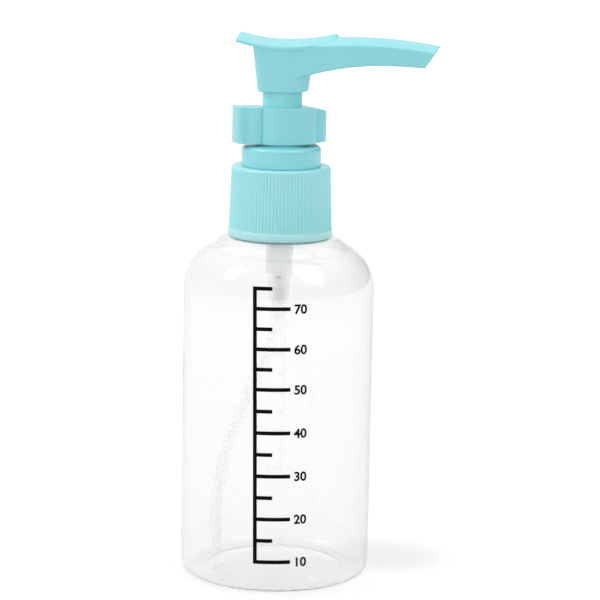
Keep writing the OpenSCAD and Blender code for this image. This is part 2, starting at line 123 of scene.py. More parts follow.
class PumpBottleScale(bpy.types.PropertyGroup):
    start_z: length("Lowest mark", "Height of the lowest mark", 6.8)
    low_step: length("Lower step", "Height of one step in the lower part", 4.56)
    high_step: length("Upper step", "Height of one step under the shoulder", 4.2)
    low_steps: count("Lower steps", "Number of steps in the lower part", 8)
    high_steps: count("Upper steps", "Number of steps under the shoulder", 5)
    line: length("Line width", "Width of a printed line", 0.8)
    long_mark: length("Long mark", "Length of a long mark round the wall", 7.7)
    short_mark: length("Short mark", "Length of a short mark round the wall", 4)
    figure_h: length("Figure height", "Height of the printed figures", 1.95)
    azimuth: angle("Direction", "Direction of the upright line's left edge, seen from above", -97.3)
    lean: angle("Lean", "Lean of the print on the wall", 0.93)


class PumpBottleClosure(bpy.types.PropertyGroup):
    ribs: count("Ribs", "Number of grip ribs on the collar", 90)
    rib_depth: length("Rib depth", "Depth of the grip ribs", 0.2)
    band_h: length("Band", "Height of the plain band at the collar's lower edge", 1.5)
    collar_round: length("Collar rounding", "Rounding of the collar's upper edge", 0.5)
    chaplet_round: length("Chaplet rounding", "Rounding of the chaplet's upper edge", 0.9)
    shank_r: length("Shank radius", "Radius of the stem's visible shank", 4.14)
    clip_yaw: angle("Clip turn", "Turn of the lock clip on the shank", 26)
    clip_drop: length("Clip ramp", "Drop of the right wing's top at its tip", 1.1)
    clip_wall: length("Clip wall", "Wall of the cored wings", 1.1)


class PumpBottleHead(bpy.types.PropertyGroup):
    half_l: length("Half length", "Half length of the head's body at its lower edge", 5.15)
    half_w: length("Half width", "Half width of the head's body at its lower edge", 4.6)
    offset: length("Offset", "Distance of the body's middle in front of the stem's axis", 0.25)
    flare: length("Flare", "Growth of the half length up to the pad", 1.1)
    pad_z: length("Pad height", "Height of the pad's lowest point over the body's lower edge", 10.79)
    pad_t: length("Pad thickness", "Thickness of the thumb pad", 1.95)
    crown: length("Crown", "Fall of the thumb pad from its middle to its long edges", 1.28)
    pad_w: length("Pad half width", "Half width of the pad at its lower edge", 5.4)
    root_w: length("Spout root", "Half width of the spout at its root", 4.95)
    tip_w: length("Spout tip", "Half width of the spout at its tip", 3.3)
    slant: angle("Spout slant", "Slant of the spout's cut, from upright", 34)
    bore_r: length("Spout bore", "Radius of the spout's bore", 1.0)
    voxel: length("Blend size", "Size of the cells that blend the head into one skin", 0.15, 0.05)


class PumpBottleFinish(bpy.types.PropertyGroup):
    aqua: colour("Closure", "Colour of the chaplet, clip and head", 0.27, 0.725, 0.78)
    # The collar's tone is lighter than the other aqua parts: painted light over the shade between its ribs.
    collar: colour("Collar", "Colour of the collar", 0.36, 0.80, 0.84)
    # The stem's tone is lighter than the other aqua parts: painted light over the shade under the head.
    shank: colour("Stem", "Colour of the stem", 0.285, 0.77, 0.82)
    clear: colour("Bottle", "Tint of the clear bottle", 0.955, 0.955, 0.956)
    natural: colour("Natural plastic", "Colour of the uncoloured pump parts", 0.97, 0.97, 0.97)
    ink: colour("Ink", "Colour of the printed scale", 0.003, 0.003, 0.003)
    gloss: factor("Gloss", "Roughness of the moulded parts", 0.33)


class PumpBottleStage(bpy.types.PropertyGroup):
    distance: length("Distance", "Distance of the camera from the bottle's axis", 544.3)
    height: length("Camera height", "Height of the camera", 161.6)
    turn: angle("Camera turn", "Turn of the camera round the bottle", 5.3)
    yaw: angle("Camera yaw", "Aim of the camera beside the bottle's axis", -0.47)
    pitch: angle("Camera pitch", "Aim of the camera below level", 10.74)
    roll: angle("Camera roll", "Roll of the camera", 1.12)
    lens: factor("Lens", "Focal length in millimetres, on a 36 mm sensor", 157.908, 500.0)
    level: factor("Level", "Strength of the even light from all round", 1.01, 2.0)
    left: factor("Left softbox", "Power of the left softbox in watts", 0.9, 100.0)
    right: factor("Right softbox", "Power of the right softbox in watts", 0.55, 100.0)


# ---------------------------------------------------------------- shading


def arithmetic(operation, swapped=False):
    """One operator of Value, which adds a Math node."""
    def step(self, other):
        first, second = (other, self) if swapped else (self, other)
        return self.shading.add("Math", {0: first, 1: second}, operation=operation)
    return step


class Value:
    """A socket that takes part in Python arithmetic."""

    def __init__(self, shading, socket):
        self.shading, self.socket = shading, socket

    __add__, __radd__ = arithmetic("ADD"), arithmetic("ADD", True)
    __sub__, __rsub__ = arithmetic("SUBTRACT"), arithmetic("SUBTRACT", True)
    __mul__, __rmul__ = arithmetic("MULTIPLY"), arithmetic("MULTIPLY", True)
    __pow__ = arithmetic("POWER")


class Shading:
    """One node tree, and the one method that adds a node to it."""

    def __init__(self, owner):
        owner.use_nodes = True
        self.owner, self.tree = owner, owner.node_tree
        self.tree.nodes.clear()

    def add(self, kind, inputs=None, out=0, **settings):
        """Adds a node, sets it, fills its sockets with values or links, and returns one of its outputs."""
        node = self.tree.nodes.new("ShaderNode" + kind)
        for name, setting in settings.items():
            setattr(node, name, setting)
        for key, given in (inputs or {}).items():
            socket = self._find(node.inputs, key)
            if isinstance(given, Value):
                self.tree.links.new(given.socket, socket)
            else:
                socket.default_value = given
        return Value(self, self._find(node.outputs, out)) if node.outputs else node

    @staticmethod
    def _find(sockets, key):
        if isinstance(key, int):
            return sockets[key]
        return next((s for s in sockets if s.identifier == key), None) or sockets[key]

    def place(self):
        return self.add("TexCoord", out="Object")

    def seen(self, kind):
        """1 for one kind of ray and 0 for the others."""
        return self.add("LightPath", out=kind)

    def mirrored(self):
        """1 for a ray that was reflected, and 0 for one that was refracted."""
        return self.seen("Is Glossy Ray") * (1 - self.seen("Is Transmission Ray"))

    def distance(self, place, centre):
        return self.add("VectorMath", {0: place, 1: centre}, "Value", operation="DISTANCE")

    def part(self, place, axis):
        return self.add("SeparateXYZ", {0: place}, axis)

    def ramp(self, value, low, high, first=0.0, second=1.0):
        """A smooth step from first to second while the value goes from low to high."""
        ends = {"From Min": low, "From Max": high, "To Min": first, "To Max": second}
        return self.add("MapRange", {"Value": value, **ends}, "Result", interpolation_type="SMOOTHSTEP")

    def noise(self, size, detail, place):
        """Noise whose features are about size across."""
        return self.add("TexNoise", {"Vector": place, "Scale": 1 / size, "Detail": detail}, "Fac")

    def mix(self, amount, first, second):
        """A colour between two, by amount."""
        ends = {"A_Color": first, "B_Color": second}
        return self.add("Mix", {"Factor_Float": amount, **ends}, "Result_Color", data_type="RGBA")

    def facing(self, power):
        """0 where the surface faces the viewer and 1 where it turns away, eased by a power."""
        return self.add("LayerWeight", {"Blend": 0.5}, "Facing") ** power

    def bump(self, height, depth):
        return self.add("Bump", {"Height": height, "Distance": depth, "Strength": 1.0})

    def principled(self, inputs):
        """Finishes the material with one Principled shader."""
        return self.surface(self.add("BsdfPrincipled", inputs))

    def surface(self, shader):
        world = isinstance(self.owner, bpy.types.World)
        self.add("OutputWorld" if world else "OutputMaterial", {"Surface": shader})
        return self.owner


def material(name):
    """The shading of a new material, and the place that its textures follow."""
    shade = Shading(bpy.data.materials.new(name))
    return shade, shade.place()


def tinted(tone, share=1.0):
    return (*(min(1.0, channel * share) for channel in tone), 1.0)


def moulded_plastic(name, tone, gloss, painted_band=None, soft=0.3):
    """Satin injection moulding: faint clouds in the colour, a fine spark-eroded skin and a little depth.

    The fourth argument gives two heights: from the first to the second the colour is painted paler, as a
    painted highlight.
    """
    shade, place = material(name)
    cloud = shade.noise(9 * mm, 3.0, place)
    skin = shade.noise(0.22 * mm, 3.0, place)
    flow = shade.noise(3 * mm, 2.0, place)
    colour = shade.mix(cloud, tinted(tone, 0.97), tinted(tone, 1.03))
    if painted_band:
        # Painted highlight: the colour is painted paler towards the second height.
        painted_pale = (0.85, 0.93, 0.93, 1)
        colour = shade.mix(shade.ramp(shade.part(place, "Z"), *painted_band, 0.0, 0.2), colour, painted_pale)
    return shade.principled({
        "Base Color": colour,
        "Roughness": gloss - 0.05 + cloud * 0.06 + skin * 0.04,
        "Subsurface Weight": soft,
        "Subsurface Radius": (0.5, 1.0, 1.0),
        "Subsurface Scale": 0.7 * mm,
        "IOR": 1.49,
        "Specular IOR Level": 1.0,
        "Normal": shade.bump(skin * 0.7 + flow * 0.8, 0.006 * mm),
    })


def clear_plastic(name, tone, shoulder):
    """Blown PET: clear, with the slow waves of the blow mould, and painted shade that greys it edge on. Lamps
    shine through it.

    shoulder gives the two heights between which the colour turns greyer, partly for the thicker wall and
    partly as painted shade, and the painted edge shade grows weaker.
    """
    shade, place = material(name)
    wave = shade.noise(14 * mm, 1.0, place)
    skin = shade.noise(2.5 * mm, 2.0, place)
    x, z = shade.part(place, "X"), shade.part(place, "Z")
    # Painted shade: edges turned from the viewer are greyed in the colour, for camera rays only, more to the
    # right and less over the shoulder.
    side = shade.ramp(x, -20 * mm, 20 * mm, 0.6, 1.6) * shade.ramp(z, *shoulder, 1.0, 0.65)
    edge = shade.facing(3.5) * side * shade.seen("Is Camera Ray")
    clear = shade.mix(shade.ramp(z, *shoulder), tinted(tone), tinted(tone, 0.95))
    glass = shade.add("BsdfPrincipled", {
        "Base Color": shade.mix(edge, clear, tinted(tone, 0.5)),
        "Roughness": 0.012 + skin * 0.02,
        "Transmission Weight": 1.0,
        "IOR": 1.5,
        "Normal": shade.bump(wave, 0.02 * mm),
    })
    open_air = shade.add("BsdfTransparent", {"Color": (0.91, 0.91, 0.91, 1)})
    return shade.surface(shade.add("MixShader", {
        0: shade.seen("Is Shadow Ray"), 1: glass, 2: open_air}))


def natural_plastic(name, tone, alpha, gloss=0.4):
    """Uncoloured polyethylene or polypropylene: milky, and see-through where alpha is low but not edge on."""
    shade, place = material(name)
    cloud = shade.noise(6 * mm, 3.0, place)
    skin = shade.noise(0.4 * mm, 2.0, place)
    edge = shade.facing(3.0)
    return shade.principled({
        "Base Color": shade.mix(cloud, tinted(tone, 0.97), tinted(tone, 1.02)),
        "Roughness": gloss - 0.04 + cloud * 0.08,
        "Subsurface Weight": 0.6,
        "Subsurface Radius": (1.0, 1.0, 1.0),
        "Subsurface Scale": 1.5 * mm,
        "Alpha": alpha - 0.02 + cloud * 0.04 + edge * 0.15,
        "Normal": shade.bump(skin, 0.004 * mm),
    })


def printing_ink(name, tone):
    """Screen-printed ink: near black, with the fine tooth of the mesh in its skin."""
    shade, place = material(name)
    tooth = shade.noise(0.15 * mm, 2.0, place)
    patch = shade.noise(4 * mm, 2.0, place)
    return shade.principled({
        "Base Color": shade.mix(patch, tinted(tone), tinted(tone, 2.2)),
        "Roughness": 0.5 + tooth * 0.15,
        "Specular IOR Level": 0.03,
        "Normal": shade.bump(tooth, 0.004 * mm),
    })


def steel(name, tone, gloss, lay):
    """Bright steel, with drawing or polishing marks lay apart."""
    shade, place = material(name)
    marks = shade.noise(lay, 4.0, place)
    return shade.principled({
        "Base Color": shade.mix(marks, tinted(tone, 0.88), tinted(tone, 1.08)),
        "Metallic": 1.0,
        "Roughness": gloss + marks * 0.12,
        "Normal": shade.bump(marks, 0.003 * mm),
    })


def foam(name, tone):
    """Closed-cell foam: a pale skin with fine pits."""
    shade, place = material(name)
    cells = shade.add("TexVoronoi", {"Vector": place, "Scale": 1 / (0.35 * mm)}, "Distance")
    return shade.principled({
        "Base Color": shade.mix(cells, tinted(tone, 0.9), tinted(tone, 1.05)),
        "Roughness": 0.85 - cells * 0.15,
        "Normal": shade.bump(cells, 0.05 * mm),
    })


# ---------------------------------------------------------------- modelling


def only(obj):
    """Selects one object alone and makes it active."""
    bpy.ops.object.select_all(action="DESELECT")
    obj.select_set(True)
    bpy.context.view_layer.objects.active = obj


def named(piece, name):
    """Names a piece and its mesh."""
    piece.name = piece.data.name = name
    return piece


def grounded():
    """Puts the place, turn and scale of the new object into its mesh."""
    bpy.ops.object.transform_apply(location=True, rotation=True, scale=True)
    return bpy.context.object


def opened(piece):
    """Opens a piece for editing, with all of it selected."""
    only(piece)
    bpy.ops.object.mode_set(mode="EDIT")
    bpy.ops.mesh.select_all(action="SELECT")
    return piece


def smooth(piece, degrees=SMOOTH):
    """Shades a piece smooth up to an angle."""
    only(piece)
    bpy.ops.object.shade_smooth_by_angle(angle=math.radians(degrees))
    return piece


def closed(degrees=SMOOTH):
    """Leaves edit mode and shades the piece smooth up to an angle."""
    bpy.ops.object.mode_set(mode="OBJECT")
    return smooth(bpy.context.object, degrees)


def pick(kind, test):
    """Selects the verts or the edges that pass a test, and nothing else."""
    bpy.ops.mesh.select_mode(type={"verts": "VERT", "edges": "EDGE"}[kind])
    bpy.ops.mesh.select_all(action="DESELECT")
    mesh = bmesh.from_edit_mesh(bpy.context.object.data)
    for element in getattr(mesh, kind):
        if test(element):
            element.select_set(True)
    mesh.select_flush_mode()
    bmesh.update_edit_mesh(bpy.context.object.data)


def moved(piece, shift):
    """Moves each vertex of the open piece to the place that shift gives for it."""
    mesh = bmesh.from_edit_mesh(piece.data)
    for vert in mesh.verts:
        vert.co = shift(vert.co)
    bmesh.update_edit_mesh(piece.data)


def merge():
    """Joins the vertices that meet, and turns all faces outwards."""
    bpy.ops.mesh.select_all(action="SELECT")
    bpy.ops.mesh.remove_doubles(threshold=0.002 * mm)
    bpy.ops.mesh.normals_make_consistent(inside=False)


def apply(kind, **settings):
    """Adds a modifier to the active object, sets it and applies it."""
    piece = bpy.context.object
    modifier = piece.modifiers.new(kind.title(), kind)
    for name, setting in settings.items():
        setattr(modifier, name, setting)
    bpy.ops.object.modifier_apply(modifier=modifier.name)
    return piece


def cut(piece, cutter, operation="DIFFERENCE"):
    """Cuts the cutter from a piece, or joins it, and removes the cutter."""
    only(piece)
    apply("BOOLEAN", object=cutter, operation=operation, solver="MANIFOLD")
    bpy.data.objects.remove(cutter)
    return piece


def cylinder(vertices, **place):
    """A new round bar, to cut a bore with."""
    bpy.ops.mesh.primitive_cylinder_add(vertices=vertices, **place)
    return bpy.context.object


def arc(x, z, r, start, end, steps):
    """Points on an arc about (x, z), between two angles in degrees."""
    turns = [math.radians(start + (end - start) * i / steps) for i in range(steps + 1)]
    return [(x + r * math.cos(turn), z + r * math.sin(turn)) for turn in turns]


def rounded(corners, steps=4):
    """An outline through corners of (x, z) or (x, z, radius). A corner with a radius becomes an arc."""
    outline = []
    last = len(corners) - 1
    for i, corner in enumerate(corners):
        here = Vector(corner[:2])
        if len(corner) < 3 or i in (0, last):
            outline.append(tuple(here))
            continue
        back = (Vector(corners[i - 1][:2]) - here).normalized()
        on = (Vector(corners[i + 1][:2]) - here).normalized()
        half = back.angle(on) / 2
        reach = corner[2] / math.tan(half)
        centre = here + (back + on).normalized() * corner[2] / math.sin(half)
        first, second = here + back * reach - centre, here + on * reach - centre
        sweep = first.angle_signed(second)
        for k in range(steps + 1):
            turn = -sweep * k / steps
            spoke = Vector((first.x * math.cos(turn) - first.y * math.sin(turn),
                            first.x * math.sin(turn) + first.y * math.cos(turn)))
            outline.append(tuple(centre + spoke))
    return outline


def flowing(corners, steps=5):
    """A smooth curve through corners."""
    curve, last = [], len(corners) - 1
    for i in range(last):
        a, b, c, d = (Vector(corners[min(max(k, 0), last)]) for k in (i - 1, i, i + 1, i + 2))
        for k in range(steps):
            t = k / steps
            curve.append(0.5 * (2 * b + (c - a) * t + (2 * a - 5 * b + 4 * c - d) * t * t
                                + (3 * b - a - 3 * c + d) * t ** 3))
    return curve + [Vector(corners[last])]


def drawn(name, points):
    """Draws a chain of edges through 3-D points, by extruding one vertex, and leaves it all selected."""
    bpy.ops.mesh.primitive_plane_add(size=mm, location=points[0])
    opened(named(grounded(), name))
    bpy.ops.mesh.select_mode(type="VERT")
    bpy.ops.mesh.merge(type="CENTER")
    for here, there in zip(points, points[1:]):
        step = Vector(there) - Vector(here)
        bpy.ops.mesh.extrude_vertices_move(TRANSFORM_OT_translate={"value": step})
    bpy.ops.mesh.select_all(action="SELECT")


def filled(name, points):
    """Draws an outline through 3-D points and fills it with a face."""
    drawn(name, points)
    bpy.ops.mesh.edge_face_add()


def raised(*step):
    """Extrudes the selected face by a step of x, y and z."""
    bpy.ops.mesh.extrude_region_move(TRANSFORM_OT_translate={"value": step})


def turned(name, outline, steps, degrees=SMOOTH):
    """Turns a half outline of (radius, height) about the upright axis."""
    drawn(name, [(r, 0, z) for r, z in outline])
    bpy.ops.mesh.spin(steps=steps, angle=math.tau, center=(0, 0, 0), axis=(0, 0, 1))
    merge()
    return closed(degrees)


def block(name, outline, z, height):
    """Fills a plan outline of (x, y) at height z and raises it into a solid."""
    filled(name, [(x, y, z) for x, y in outline])
    raised(0, 0, height)
    merge()
    return closed()


def tip(degrees, place):
    """Tips what is selected about the level axis through a place: forward over +X for positive degrees."""
    bpy.ops.transform.rotate(value=-math.radians(degrees), orient_axis="Y", center_override=place)


def swept(name, section, stations):
    """Sweeps a closed section of (y, z) along X.

    Each station is (x, z, width, height, tip): the place, size and tip in degrees of the section there.
    """
    x, z, width, height, lean = stations[0]
    filled(name, [(x, y * width, z + up * height) for y, up in section])
    tip(lean, (x, 0, z))
    for after in stations[1:]:
        raised(after[0] - x, 0, after[1] - z)
        place = (after[0], 0, after[1])
        tip(-lean, place)
        growth = (1, after[2] / width, after[3] / height)
        bpy.ops.transform.resize(value=growth, center_override=place)
        x, z, width, height, lean = after
        tip(lean, place)
    merge()
    return closed()


def ridge(name, root, crest, base_w, crest_w, turns, z, pitch, steps=48):
    """A right-handed thread ridge from radius root to crest, which shrinks into the wall at its ends."""
    section = [(root, -base_w / 2), (crest, -crest_w / 2), (crest, crest_w / 2), (root, base_w / 2)]
    filled(name, [(r, 0, z + up) for r, up in section])
    total, fade, shrink = round(steps * turns), 4, 1.5
    bpy.ops.transform.resize(value=(shrink ** -fade,) * 3, center_override=(root, 0, z))
    for i in range(1, total + 1):
        raised(0, 0, pitch / steps)
        bpy.ops.transform.rotate(value=-math.tau / steps, orient_axis="Z", center_override=(0, 0, 0))
        turn = math.tau * i / steps
        size = shrink if i <= fade else 1 / shrink if i > total - fade else 1
        bpy.ops.transform.resize(value=(size,) * 3, center_override=(
            root * math.cos(turn), root * math.sin(turn), z + pitch * i / steps))
    merge()
    return closed()


def join(piece, *others):
    """Joins other pieces to a piece, each with its own skin."""
    only(piece)
    for other in others:
        other.select_set(True)
    bpy.ops.object.join()
    return piece


def placed(piece, material, body, node):
    """Gives a finished piece its material and the frame's body, and hides the node that it replaces."""
    piece.data.materials.clear()
    piece.data.materials.append(material)
    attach(piece, body)
    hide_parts(node)
    return piece


def settings(context, *names):
    """The named groups of settings, in the order that they are asked for."""
    return [getattr(context.scene, "pump_bottle_" + name) for name in names]


# ---------------------------------------------------------------- operators


class PUMPBOTTLE_OT_bottle(bpy.types.Operator):
    """Blow the clear bottle, with its push-up foot, conical seat and threaded neck"""
    bl_idname = "pumpbottle.bottle"
    bl_label = "Bottle"

    def execute(self, context):
        body, finish = settings(context, "body", "finish")
        r, rim = -LOW["bottle"].x, HIGH["bottle"].z
        shoulder_end = 62  # degrees that the rounding turns through before the cone begins
        # Heights over which the shoulder turns greyer, partly for its thicker wall and partly as painted
        # shade.
        thick_and_shaded = (54 * mm, 66 * mm)
        shares = (0.25, 0.5, 0.75)

        def push_up(lift, steps=24):
            """The domed floor, from the middle out to the foot ring."""
            return [(body.ring_r * i / steps, lift + body.push_up * (1 - (i / steps) ** 2))
                    for i in range(steps + 1)]

        def heel(radius, start, end):
            return arc(r - body.heel_r, body.heel_r, radius, start, end, 12)

        def shoulder(inset, radius, height):
            """The shoulder, from the wall round to a cone that rises to its seat under the collar."""
            *round_off, start = arc(
                r - body.shoulder_r, body.wall_h, body.shoulder_r - inset, 0, shoulder_end, 24)
            cone = [(start[0] + (radius - start[0]) * share, start[1] + (height - start[1]) * rise)
                    for share, rise in ((0.3, 0.38), (0.62, 0.73), (0.86, 0.92), (1, 1))]
            return round_off + [tuple(point) for point in flowing([start] + cone, 4)]

        neck = rounded([
            (body.seat_r, body.seat_z), (body.neck_r, body.seat_z, 0.4 * mm), (body.neck_r, rim, 0.3 * mm),
            (body.mouth_r, rim, 0.3 * mm), (body.mouth_r, body.seat_z - 0.4 * mm)])
        outside = (
            push_up(0) + heel(body.heel_r, -90, 0) + [(r, body.wall_h * share) for share in shares]
            + shoulder(0, body.seat_r, body.seat_z) + neck[1:])
        inside = (
            shoulder(body.wall, body.seat_r - 0.3 * mm, body.seat_z - 0.7 * mm)[::-1]
            + [(r - body.wall, body.wall_h * share) for share in shares[::-1]]
            + heel(body.heel_r - body.wall, 0, -90) + push_up(body.wall)[::-1])
        bottle = turned("clear_bottle", outside + inside, 192)
        thread = ridge("neck_thread", body.neck_r - 0.2 * mm, body.thread_r, 1.5 * mm, 0.7 * mm, NECK_TURNS,
                       rim - NECK_GAP - NECK_TURNS * body.pitch, body.pitch)
        smooth(cut(bottle, thread, "UNION"))
        placed(bottle, clear_plastic("Clear PET", finish.clear, thick_and_shaded), "bottle_body", "bottle")
        return {"FINISHED"}


class PUMPBOTTLE_OT_scale(bpy.types.Operator):
    """Print the scale and its plain figures on the wall"""
    bl_idname = "pumpbottle.scale"
    bl_label = "Printed scale"

    def execute(self, context):
        scale, finish = settings(context, "scale", "finish")
        wall_r = -LOW["bottle"].x
        ink = 0.06 * mm
        cell = 0.4 * mm
        capital = 0.729  # height of a figure, as a share of the text's size
        heights = [min(i, scale.low_steps) * scale.low_step + max(i - scale.low_steps, 0) * scale.high_step
                   for i in range(scale.low_steps + scale.high_steps + 1)]

        def bar(x, z, width, height):
            """A printed bar from (x, z) to the right and up, on the flat sheet."""
            bpy.ops.mesh.primitive_plane_add(size=1, location=(x + width / 2, 0, z + height / 2),
                                             rotation=(math.pi / 2, 0, 0))
            bpy.context.object.scale = (width, height, 1)
            opened(named(grounded(), "bar"))
            pick("edges", lambda edge: abs(edge.verts[0].co.z - edge.verts[1].co.z) < ink)
            bpy.ops.mesh.subdivide(number_cuts=max(1, round(width / cell)))
            return closed()

        def figure(text, x, z):
            """A printed figure whose lower left corner is at (x, z), on the flat sheet."""
            bpy.ops.object.text_add(location=(x, 0, z), rotation=(math.pi / 2, 0, 0))
            written = bpy.context.object.data
            written.body = text
            written.size = scale.figure_h / capital
            written.offset = 0.08 * mm
            written.resolution_u = 6
            bpy.ops.object.convert(target="MESH")
            return grounded()

        def wrapped(place):
            """The place on the wall for a place on the flat sheet."""
            turn = scale.azimuth + place.x / wall_r
            radius = wall_r + ink / 3
            return radius * math.cos(turn), radius * math.sin(turn), scale.start_z + place.z

        half = scale.line / 2
        sheet = bar(0, -half, scale.line, heights[-1] + scale.line)
        parts = []
        for i, z in enumerate(heights):
            reach = scale.long_mark if i % 2 == 0 else scale.short_mark
            parts.append(bar(scale.line, z - half, reach - scale.line, scale.line))
            if i % 2 == 0:
                parts.append(figure(str(10 + 5 * i), scale.long_mark + 0.75 * mm, z - scale.figure_h / 2))
        printed = opened(named(join(sheet, *parts), "scale_ink"))
        bpy.ops.mesh.remove_doubles(threshold=0.001 * mm)
        bpy.ops.transform.rotate(value=scale.lean, orient_axis="Y", center_override=(0, 0, 0))
        moved(printed, wrapped)
        bpy.ops.mesh.normals_make_consistent(inside=False)
        bpy.ops.object.mode_set(mode="OBJECT")
        smooth(apply("SOLIDIFY", thickness=ink * 2 / 3, offset=1.0))
        placed(printed, printing_ink("Scale ink", finish.ink), "bottle_body", "scale_print")
        return {"FINISHED"}


class PUMPBOTTLE_OT_collar(bpy.types.Operator):
    """Mould the ribbed screw collar with its inside thread"""
    bl_idname = "pumpbottle.collar"
    bl_label = "Screw collar"

    def execute(self, context):
        body, closure, finish = settings(context, "body", "closure", "finish")
        foot, top = span("screw_collar")
        r, top_r, hub_r, bore_r = HIGH["screw_collar"].x, 10.35 * mm, 5.85 * mm, body.thread_r + 0.2 * mm
        rib_z = foot + closure.band_h
        rib_top = top - closure.collar_round - 0.1 * mm
        plate = top - 1.15 * mm
        rib_edge = 40.0  # degrees: the ribs are shaded smooth, and the edges round them sharp
        cells = 6  # steps of one rib
        outline = rounded([
            (bore_r, foot), (r, foot, 0.15 * mm), (r, rib_z, 0.12 * mm), (r - 0.15 * mm, rib_z),
            (r - 0.17 * mm, rib_z + 0.2 * mm), (top_r + 0.02 * mm, rib_top - 0.25 * mm), (top_r, rib_top),
            (top_r, top, closure.collar_round), (hub_r, top, 0.2 * mm), (hub_r, plate, 0.1 * mm),
            (bore_r, plate, 0.4 * mm), (bore_r, foot)], 6)
        opened(turned("ribbed_collar", outline, closure.ribs * cells, rib_edge))

        def on_rib(vert, phase):
            """Whether a vertex of the grip lies at this step of a rib."""
            level = rib_z + 0.1 * mm < vert.co.z < rib_top - 0.1 * mm
            turn = math.atan2(vert.co.y, vert.co.x) * closure.ribs / math.tau * cells
            return level and vert.co.xy.length > top_r - mm and round(turn) % cells == phase

        for phase, share in ((0, 1.0), (1, 0.62), (5, 0.62), (2, 0.12), (4, 0.12)):
            pick("verts", lambda vert: on_rib(vert, phase))
            inward = 1 - share * closure.rib_depth / r
            bpy.ops.transform.resize(value=(inward, inward, 1), center_override=(0, 0, 0))
        collar = closed(rib_edge)
        under_neck_thread = HIGH["bottle"].z - NECK_GAP - NECK_TURNS * body.pitch - 1.2 * mm
        thread = ridge("collar_thread", bore_r + 0.3 * mm, body.neck_r + 0.2 * mm, 1.3 * mm, 0.6 * mm, 1.25,
                       under_neck_thread, body.pitch)
        # The plain band under the ribs is painted paler, a painted highlight.
        plastic = moulded_plastic("Aqua polypropylene collar", finish.collar, finish.gloss,
                                  (rib_z + 0.3 * mm, rib_z), 0.5)
        placed(join(collar, thread), plastic, "collar_body", "screw_collar")
        return {"FINISHED"}


class PUMPBOTTLE_OT_housing(bpy.types.Operator):
    """Mould the pump housing: flange, snap neck, barrel, chamber and tail"""
    bl_idname = "pumpbottle.housing"
    bl_label = "Pump housing"

    def execute(self, context):
        finish = context.scene.pump_bottle_finish
        foot, top = span("pump_housing")
        flange, flange_top = HIGH["neck_gasket"].z, HIGH["neck_gasket"].z + 0.8 * mm
        barrel, chamber, cage_top = 77.3 * mm, 64.2 * mm, 64.7 * mm
        socket, seat = foot + 3.3 * mm, foot + 4.1 * mm
        # Radii: of the valve's seat and cage, the tail, the chamber, the barrel, its neck and the flange.
        seat_r, mouth_r, cage_r, socket_r = 0.6 * mm, 0.7 * mm, 1.3 * mm, 1.35 * mm
        tail_r, neck_r, bore_r, chamber_r = 2.05 * mm, 2.3 * mm, 2.12 * mm, 2.8 * mm
        barrel_bore, barrel_r, snap_r, bead_r, flange_r = 4.55 * mm, 5.5 * mm, 5.6 * mm, 5.75 * mm, 7.9 * mm
        outline = rounded([
            (socket_r, foot), (tail_r, foot, 0.1 * mm), (neck_r, chamber, 0.1 * mm),
            (chamber_r, chamber, 0.25 * mm), (chamber_r, barrel, 0.3 * mm), (barrel_r, barrel, 0.5 * mm),
            (barrel_r, flange, 0.2 * mm), (flange_r, flange, 0.15 * mm), (flange_r, flange_top, 0.15 * mm),
            (snap_r, flange_top, 0.1 * mm), (snap_r, top - 2.1 * mm), (bead_r, top - 1.9 * mm),
            (bead_r, top - 1.6 * mm), (snap_r, top - 1.3 * mm), (snap_r, top, 0.15 * mm),
            (barrel_bore, top, 0.15 * mm), (barrel_bore, barrel + mm, 0.3 * mm),
            (bore_r, barrel + mm, 0.1 * mm), (bore_r, cage_top, 0.1 * mm), (mouth_r, cage_top),
            (mouth_r, chamber), (cage_r, chamber), (cage_r, seat), (seat_r, seat), (seat_r, socket),
            (socket_r, socket), (socket_r, foot)])
        housing = turned("pump_barrel", outline, 96)
        placed(housing, natural_plastic("Natural polypropylene", finish.natural, 0.2), "pump_body",
               "pump_housing")
        return {"FINISHED"}


class PUMPBOTTLE_OT_dip_tube(bpy.types.Operator):
    """Draw the dip tube down to the heel of the bottle"""
    bl_idname = "pumpbottle.dip_tube"
    bl_label = "Dip tube"

    def execute(self, context):
        body, finish = settings(context, "body", "finish")
        foot, top = span("dip_tube")
        # The tube leaves the axis at start by its upper bend, leans, and comes upright again at offset.
        lean, azimuth = math.radians(22), math.radians(186)
        upper, lower, offset, start = 18 * mm, 58 * mm, 12.6 * mm, 56.5 * mm
        middle = (offset - (upper + lower) * (1 - math.cos(lean))) / math.sin(lean)
        low = start - (upper + lower) * math.sin(lean) - middle * math.cos(lean)

        def bend(radius, steps):
            """How far a bend has gone sideways and along, from upright to its full lean."""
            return [(radius * (1 - math.cos(lean * i / steps)), radius * math.sin(lean * i / steps))
                    for i in range(steps + 1)]

        line = [(0.0, top), (0.0, (top + start) / 2)]
        line += [(aside, start - along) for aside, along in bend(upper, 8)]
        line += [(offset - aside, low + along) for aside, along in bend(lower, 16)[::-1]]
        line += [(offset, (low + foot) / 2), (offset, foot)]
        bpy.ops.curve.primitive_nurbs_path_add(radius=mm)
        curve = bpy.context.object.data
        curve.splines.clear()
        spline = curve.splines.new("POLY")
        spline.points.add(len(line) - 1)
        for point, (reach, z) in zip(spline.points, line):
            point.co = (reach * math.cos(azimuth), reach * math.sin(azimuth), z, 1)
        curve.dimensions = "3D"
        curve.bevel_depth = body.tube_r
        curve.bevel_resolution = 12
        bpy.ops.object.convert(target="MESH")
        opened(named(grounded(), "suction_tube"))
        merge()
        bpy.ops.object.mode_set(mode="OBJECT")
        tube = smooth(apply("SOLIDIFY", thickness=body.tube_wall, offset=-1.0, use_even_offset=True))
        placed(tube, natural_plastic("Natural polyethylene", finish.natural, 0.12), "pump_body", "dip_tube")
        return {"FINISHED"}


